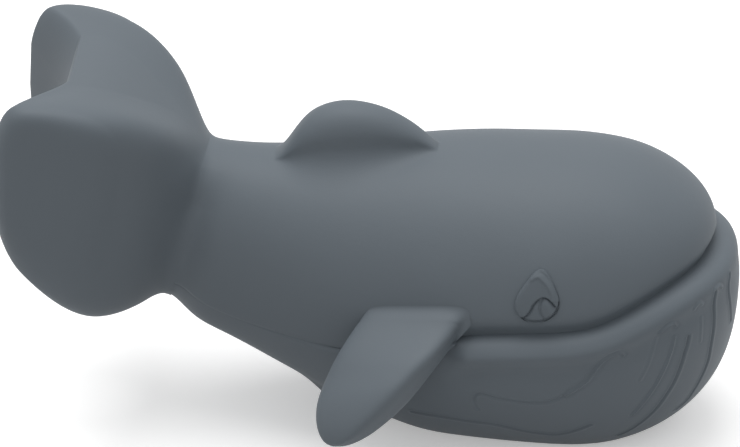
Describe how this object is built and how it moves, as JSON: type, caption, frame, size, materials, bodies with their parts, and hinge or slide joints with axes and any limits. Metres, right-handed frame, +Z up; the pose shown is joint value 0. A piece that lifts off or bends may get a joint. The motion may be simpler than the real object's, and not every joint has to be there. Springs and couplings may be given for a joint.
{
  "type": "squeaky bath toy",
  "caption": "Soft hollow rubber whale that rests on its flat belly and squeaks when squeezed, with plug-in flukes, flippers and eyes and a reed squeaker inside.",
  "frame": {"origin": "centre of the toy's box at the level of the table, under its flat belly", "axes": "+X towards the nose, +Y towards the whale's left side, +Z up"},
  "size_m": [0.1478, 0.086, 0.0775],
  "materials": {
    "skin_rubber": "matt slate-grey moulded rubber",
    "eye_rubber": "matt slate-grey moulded rubber",
    "squeaker_plastic": "satin natural white plastic",
    "reed_plastic": "glossy amber plastic film"
  },
  "bodies": {
    "skin": {"back_moulding": "skin_rubber", "belly_moulding": "skin_rubber", "tail_flukes": "skin_rubber", "flipper_right": "skin_rubber", "flipper_left": "skin_rubber", "eye_right": "eye_rubber", "eye_left": "eye_rubber", "squeaker_barrel": "squeaker_plastic", "reed_block": "squeaker_plastic", "reed_wedge": "squeaker_plastic"},
    "reed": {"reed": "reed_plastic"}
  },
  "joints": [
    {"name": "reed_bend", "type": "hinge", "parent": "skin", "child": "reed", "pos_m": [0.02288, 0.00075, 0.0058], "axis": [1, 0, 0], "range_deg": [-3.5, 3.5], "stiffness_Nm_per_rad": 0.013}
  ]
}
